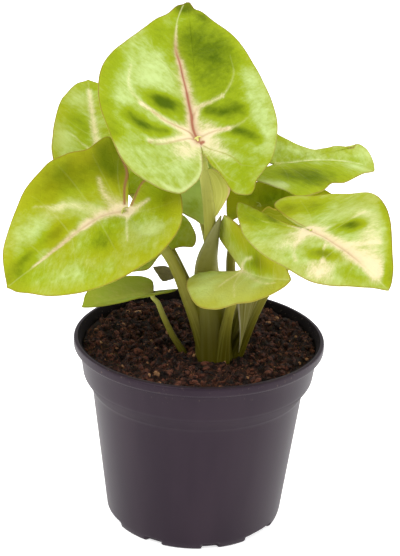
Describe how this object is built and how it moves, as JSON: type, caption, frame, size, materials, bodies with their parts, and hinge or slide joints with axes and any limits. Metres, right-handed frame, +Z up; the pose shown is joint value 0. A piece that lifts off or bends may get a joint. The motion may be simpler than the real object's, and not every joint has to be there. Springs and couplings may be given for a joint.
{
  "type": "arrowhead plant",
  "caption": "Young arrowhead plant with heart-shaped, cream-marked leaves on arching petioles, growing in a round tapered plastic nursery pot.",
  "frame": {"origin": "centre of the pot's underside, on the surface it stands on", "axes": "+Z up out of the pot, -Y towards the side that the plant's large leaves face, +X to the right seen from there"},
  "size_m": [0.1317, 0.1348, 0.1807],
  "materials": {
    "pot_plastic": "satin injection-moulded polypropylene, dark plum grey",
    "potting_soil": "loose dark peat with fibres; paper stands in for organic matter",
    "petiole": "smooth living stem; paper stands in for plant tissue",
    "leaf": "waxy living leaf, green with pale veins; paper stands in for plant tissue",
    "leaf_variegated": "waxy living leaf with broad cream patches; paper stands in for plant tissue",
    "leaf_shaded": "waxy living leaf, deeper green; paper stands in for plant tissue",
    "leaf_withered": "dry, papery grey-brown leaf; paper stands in for plant tissue"
  },
  "bodies": {
    "root": {"pot": "pot_plastic", "soil": "potting_soil", "stems": "petiole", "small_petiole": "petiole", "leaf_top": "leaf", "leaf_left": "leaf", "leaf_back_left": "leaf", "leaf_right_high": "leaf", "leaf_right_low": "leaf_variegated", "leaf_front": "leaf", "leaf_low_left": "leaf", "leaf_young": "leaf", "leaf_behind_left": "leaf", "leaf_back_right": "leaf_shaded", "leaf_back": "leaf_shaded", "leaf_withered": "leaf_withered"}
  },
  "joints": []
}
